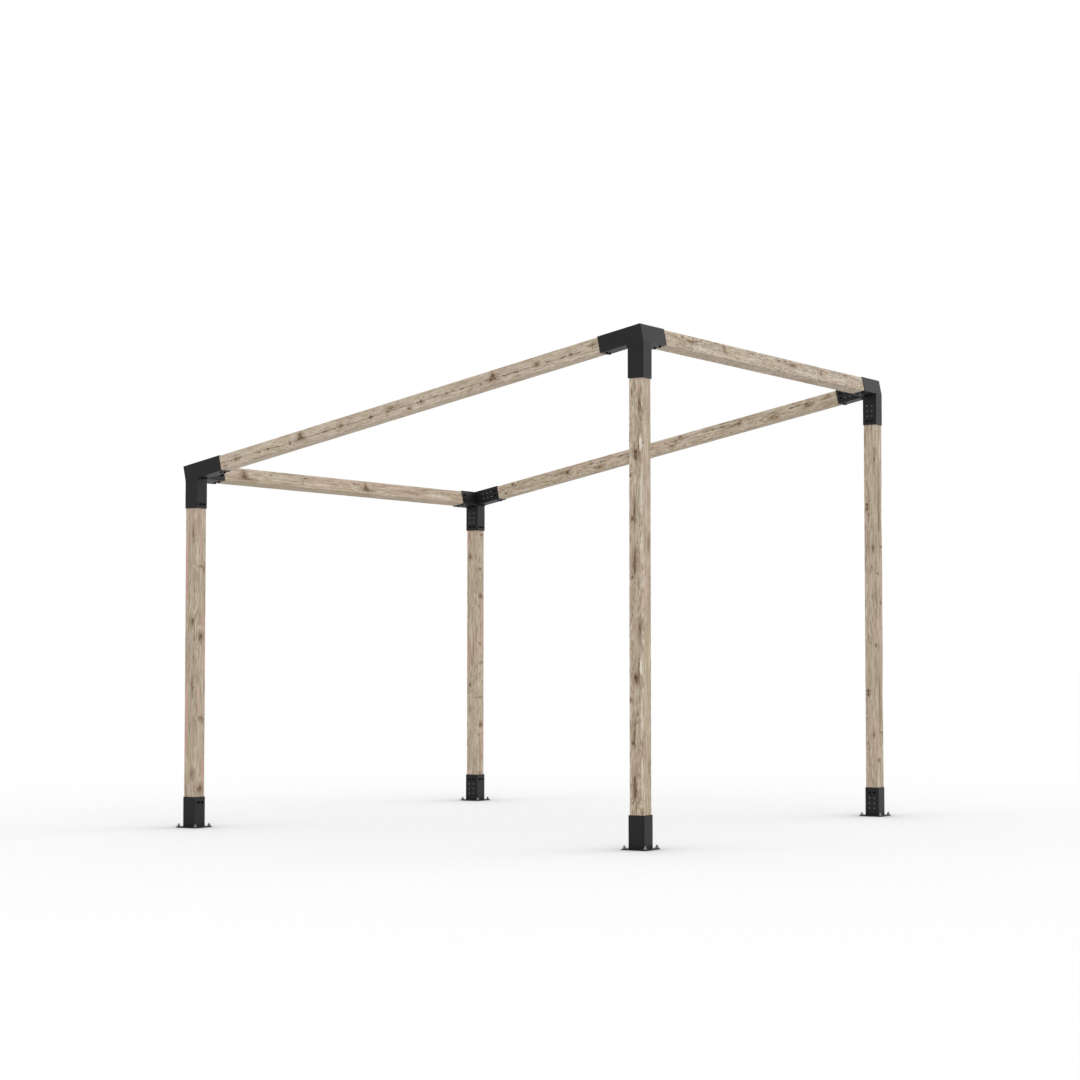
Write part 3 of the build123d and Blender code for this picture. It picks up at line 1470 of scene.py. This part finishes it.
FIGURES: dict[str, Figure] = {
    "front_beam": Figure(
        Grain.SLOPED, seed=1.0, repeat=1.397, flecks=0.35, stains=0.2, mottle=0.35, lift=0.5,
        knots=(Knot(-1.33, 180, 0.028, 0.008, 0.7, 0.7), Knot(-1.24, 180, 0.007, 0.010, 0.9, 0.9),
               Knot(-1.06, 180, 0.007, 0.006, 0.5, 0.7), Knot(-0.82, 180, 0.0155, 0.007, 0.7, 0.8),
               Knot(-0.736, 180, -0.003, 0.021, 0.75, 0.75, KnotShape.DART),
               Knot(-0.57, 180, 0.008, 0.005), Knot(-0.433, 180, 0.004, 0.013, 0.8, 0.65),
               Knot(-0.21, 180, 0.006, 0.007, 0.8, 0.9), Knot(-0.06, 180, -0.010, 0.009, 0.35, 0.5)),
        checks=(Check(180, 0.007, 0.010, 0.0015, 1.0),)),
    "back_beam": Figure(
        Grain.SLOPED, seed=2.0, repeat=1.397, flecks=0.35, stains=0.55, mottle=0.7, lift=0.15,
        knots=(Knot(-1.30, 180, 0.020, 0.008, 0.6, 0.6), Knot(-1.23, 180, -0.027, 0.010, 0.8, 0.8),
               Knot(-0.81, 180, -0.006, 0.006, 0.15, 0.5), Knot(-0.765, 180, -0.002, 0.011, 0.6, 0.9),
               Knot(-0.50, 180, 0.020, 0.012, 0.4, 0.5), Knot(-0.31, 180, -0.014, 0.005, 0.2, 0.7),
               Knot(-0.24, 180, 0.004, 0.011, 0.4, 0.45)),
        checks=(Check(180, -0.014, 0.012, 0.0016, 0.5),)),
    "left_beam": Figure(
        Grain.LEVEL, seed=3.0, repeat=1.31, flecks=0.3, stains=0.35, mottle=0.15, stretch=1.8,
        knots=(Knot(-1.145, 180, 0.003, 0.021, 0.7, 0.75, KnotShape.DART),
               Knot(-1.12, 180, 0.024, 0.006, 0.1, 0.5), Knot(-0.54, 180, 0.005, 0.014, 3.0, 0.5)),
        slivers=(Knot(-0.3, 180, 0.012, 0.008, 0.06, 0.35), Knot(-0.85, 180, -0.018, 0.007, 0.05, 0.3)),
        checks=(Check(180, -0.02, 0.02, 0.0013, 0.3),)),
    "right_beam": Figure(
        Grain.LEVEL, seed=4.0, repeat=1.32, flecks=0.6, stains=0.4, mottle=0.75, straw=0.0, bleach=1.0,
        lift=0.12,
        knots=(Knot(-1.22, 180, -0.018, 0.006, 0.3, 0.6), Knot(-1.13, 180, -0.024, 0.005, 0.3, 0.6),
               Knot(-1.03, 180, -0.010, 0.008, 0.16, 0.75), Knot(-0.62, 180, -0.002, 0.012, 0.6, 0.45),
               Knot(-0.25, 180, -0.025, 0.006, 0.25, 0.6)),
        slivers=(Knot(-0.9, 180, 0.02, 0.009, 0.05, 0.3), Knot(-0.35, 180, 0.012, 0.009, 0.06, 0.3)),
        checks=(Check(180, -0.024, 0.014, 0.0012, 0.35),)),
    "front_right_post": Figure(
        Grain.UPRIGHT, seed=5.0, repeat=1.226, flecks=0.9, stains=0.5, mottle=0.85, calm=0.25, stretch=1.2,
        curl=0.8,
        knots=(Knot(-1.135, 270, -0.022, 0.008, 0.7, 0.9), Knot(-1.06, 270, -0.008, 0.011, 0.14, 0.8),
               Knot(-0.814, 270, -0.020, 0.009, 0.6, 0.9), Knot(-0.79, 270, -0.010, 0.007, 0.1, 0.55),
               Knot(-0.58, 270, -0.037, 0.007, 0.8, 0.9), Knot(-0.465, 270, -0.001, 0.015, 0.45, 0.95),
               # Knot -0.41 is a thin dark line, a shadow painted beside the pale sliver at -0.405.
               Knot(-0.41, 270, 0.018, 0.004, 0.07, 0.9), Knot(-0.20, 270, 0.024, 0.011, 0.25, 0.6),
               Knot(-0.95, 0, 0.016, 0.010, 0.3, 0.4)),
        slivers=(Knot(-1.13, 270, -0.026, 0.005, 0.7, 1.0), Knot(-0.405, 270, 0.029, 0.010, 0.2, 0.9),
                 Knot(-0.68, 270, 0.034, 0.009, 0.06, 0.55), Knot(-0.96, 270, 0.036, 0.008, 0.1, 0.5))),
    "front_left_post": Figure(
        Grain.UPRIGHT, seed=6.0, repeat=0.933, flecks=0.4, stains=0.4, mottle=0.4, stretch=1.7, curl=0.5,
        lift=0.12,
        knots=(Knot(-0.75, 270, 0.015, 0.013, 0.45, 0.5), Knot(-0.20, 270, 0.016, 0.007, 0.12, 0.4),
               Knot(-0.845, 0, -0.002, 0.025, 0.9, 0.75), Knot(-0.41, 0, 0.004, 0.022, 2.6, 0.5),
               Knot(-0.425, 0, 0.022, 0.007, 0.3, 0.55)),
        blushes=(Knot(0.5, 270, -0.030, 0.010, 0.03, 0.7), Knot(0.2, 0, 0.022, 0.010, 0.08, 0.6),
                 Knot(-0.3, 0, -0.010, 0.008, 0.06, 0.4)),
        checks=(Check(270, 0.03, 0.01, 0.0012, 0.3),)),
    "back_right_post": Figure(
        Grain.UPRIGHT, seed=7.0, repeat=1.226, flecks=0.5, stains=0.75, mottle=0.55, stretch=2.0, curl=0.45,
        lift=0.06,
        knots=(Knot(-0.60, 270, -0.022, 0.009, 0.6, 0.8), Knot(-0.575, 270, -0.022, 0.009, 0.8, 0.95),
               Knot(-0.86, 270, 0.017, 0.006, 0.3, 0.6), Knot(-0.275, 270, 0.036, 0.007, 0.6, 0.7),
               Knot(-1.03, 0, -0.029, 0.010, 0.8, 0.75), Knot(-1.22, 0, 0.0106, 0.010, 0.8, 0.85),
               Knot(-0.85, 0, 0.014, 0.022, 2.6, 0.7), Knot(-0.62, 0, -0.012, 0.014, 0.07, 0.35)),
        slivers=(Knot(-0.835, 0, 0.020, 0.014, 3.0, 0.5), Knot(-0.62, 0, 0.036, 0.009, 0.05, 0.9)),
        checks=(Check(0, 0.0, 0.02, 0.0012, 0.3),)),
    "back_left_post": Figure(
        Grain.UPRIGHT, seed=8.0, repeat=0.933, flecks=0.4, stains=0.6, mottle=0.6, stretch=1.7, curl=0.5,
        lift=0.1,
        knots=(Knot(-0.24, 270, -0.018, 0.010, 0.5, 0.6), Knot(-0.53, 0, 0.002, 0.020, 1.3, 0.85),
               Knot(-0.33, 0, -0.010, 0.020, 2.4, 0.6), Knot(-0.08, 0, 0.012, 0.020, 2.2, 0.55),
               Knot(-0.875, 0, -0.004, 0.014, 2.0, 0.5), Knot(-0.6, 0, -0.022, 0.008, 0.8, 0.5)),
        blushes=(Knot(-0.05, 270, -0.032, 0.009, 0.05, 0.6), Knot(-0.62, 0, 0.024, 0.010, 0.05, 0.5)),
        checks=(Check(0, -0.008, 0.012, 0.0012, 0.35),)),
}


@dataclass
class Pergola:
    """The whole frame: four posts, four beams, four corners and four bases."""

    spots: tuple[str, ...] = ("front_right", "front_left", "back_right", "back_left")

    def pitch(self) -> float:
        """Return the roof's slope, from the level beams' heights."""
        rise = middle("right_beam") - middle("left_beam")
        return math.atan2(rise.z, rise.x)

    def build(self, finishes: Finishes) -> None:
        """Dress the timbers and build what the brackets carry.

        Args:
            finishes: The finishes that the pieces share.
        """
        pitch = self.pitch()
        low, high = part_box("front_right_post")
        finish = TimberFinish(half=(high.x - low.x) / 2)
        for node, figure in FIGURES.items():
            Timber(node, figure, pitch).dress(finish)
        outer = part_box("front_right_corner_outer")[0].y
        half = abs(outer - (low.y + high.y) / 2)
        for spot in self.spots:
            Corner(spot, pitch, half).build(finishes)
            Base(spot, half).build(finishes)


@dataclass
class Studio:
    """A white floor under an even white sky, one weak wide sun, and the photo's point of view."""

    eye: Vector = Vector((7.9197, -12.8713, 1.0702))
    yaw: float = 31.749
    tilt: float = 2.7315
    focal: float = 78.858
    sensor: float = 36.0
    sky: float = 0.95
    floor_side: float = 400.0
    floor_bounce: float = 0.64
    shade_reach: float = 8.0
    shade_samples: int = 16
    sun_share: float = 0.12
    sun_spread: float = 50.0
    sun_place: Vector = Vector((6.5, 10.0, 5.5))

    def seen(self, graph: Graph) -> Socket:
        """Find the rays that show the backdrop.

        Args:
            graph: The graph to add to.

        Returns:
            1 for rays to the camera, in gloss and through glass, and 0 for rays that only light.
        """
        path = graph.add("ShaderNodeLightPath")
        straight = graph.math("MAXIMUM", path.outputs["Is Camera Ray"], path.outputs["Is Glossy Ray"])
        return graph.math("MAXIMUM", straight, path.outputs["Is Transmission Ray"])

    def light_sky(self) -> None:
        """Make a world that is white to the camera and gives even light."""
        world = bpy.data.worlds.new("studio")
        world.use_nodes = True
        bpy.context.scene.world = world
        graph = Graph(world.node_tree)
        shaders = []
        for strength in (self.sky, 1.0):
            node = graph.add("ShaderNodeBackground")
            graph.feed_named(node, {"Color": (1.0, 1.0, 1.0, 1.0), "Strength": strength})
            shaders.append(node.outputs["Background"])
        output = graph.add("ShaderNodeOutputWorld")
        graph.feed(output.inputs["Surface"], graph.choose(self.seen(graph), *shaders))

    def floor_finish(self) -> bpy.types.Material:
        """Build the floor's finish, which shows white with its real shadow and a shade painted in by ambient
        occlusion, and throws back a little less.

        Returns:
            The material.
        """
        material, graph = new_material("white_floor")
        # Painted shade: ambient occlusion darkens the floor's own colour near the frame, on top of its real
        # shadow.
        shade = graph.add("ShaderNodeAmbientOcclusion", samples=self.shade_samples)
        graph.feed(shade.inputs["Distance"], self.shade_reach)
        grey = (self.floor_bounce, self.floor_bounce, self.floor_bounce, 1.0)
        shaders = []
        for colour in (grey, shade.outputs["Color"]):
            node = graph.add("ShaderNodeBsdfDiffuse")
            graph.feed(node.inputs["Color"], colour)
            shaders.append(node.outputs["BSDF"])
        output = graph.add("ShaderNodeOutputMaterial")
        graph.feed(output.inputs["Surface"], graph.choose(self.seen(graph), *shaders))
        return material

    def lay_floor(self) -> None:
        """Lay the floor, which keeps the object's shadow."""
        mesh = bmesh.new()
        bmesh.ops.create_grid(mesh, x_segments=1, y_segments=1, size=self.floor_side / 2)
        data = bpy.data.meshes.new("floor")
        mesh.to_mesh(data)
        mesh.free()
        data.materials.append(self.floor_finish())
        floor = bpy.data.objects.new("floor", data)
        bpy.context.scene.collection.objects.link(floor)

    def hang_sun(self) -> None:
        """Hang the wide sun, which brings the floor up to white."""
        light = bpy.data.lights.new("soft_sun", "SUN")
        light.energy = self.sun_share * math.pi
        light.angle = math.radians(self.sun_spread)
        sun = bpy.data.objects.new("soft_sun", light)
        sun.location = self.sun_place
        sun.rotation_euler = self.sun_place.to_track_quat("Z", "Y").to_euler()
        bpy.context.scene.collection.objects.link(sun)

    def set_camera(self) -> None:
        """Stand the camera where the photo was taken from."""
        lens = bpy.data.cameras.new("camera")
        lens.lens = self.focal
        lens.sensor_width = self.sensor
        camera = bpy.data.objects.new("camera", lens)
        camera.location = self.eye
        camera.rotation_euler = (math.radians(90 + self.tilt), 0.0, math.radians(self.yaw))
        bpy.context.scene.collection.objects.link(camera)
        bpy.context.scene.camera = camera

    def build(self) -> None:
        """Set up the light, the floor and the camera."""
        bpy.context.scene.view_settings.view_transform = "Standard"
        self.light_sky()
        self.lay_floor()
        self.hang_sun()
        self.set_camera()


def main() -> None:
    """Build the pergola and its studio."""
    logging.basicConfig(level=logging.INFO, format="%(name)s %(message)s")
    zinc = Zinc("zinc_plate", tone(176, 177, 180), tone(138, 139, 142))
    stud = Zinc("anchor_steel", tone(150, 151, 153), tone(104, 105, 106))
    finishes = Finishes(PowderCoat().material(), zinc.material(), stud.material(), BlackOxideAndHoleShade().material())
    Pergola().build(finishes)
    Studio().build()
    bpy.context.view_layer.update()


if __name__ == "__main__":
    main()
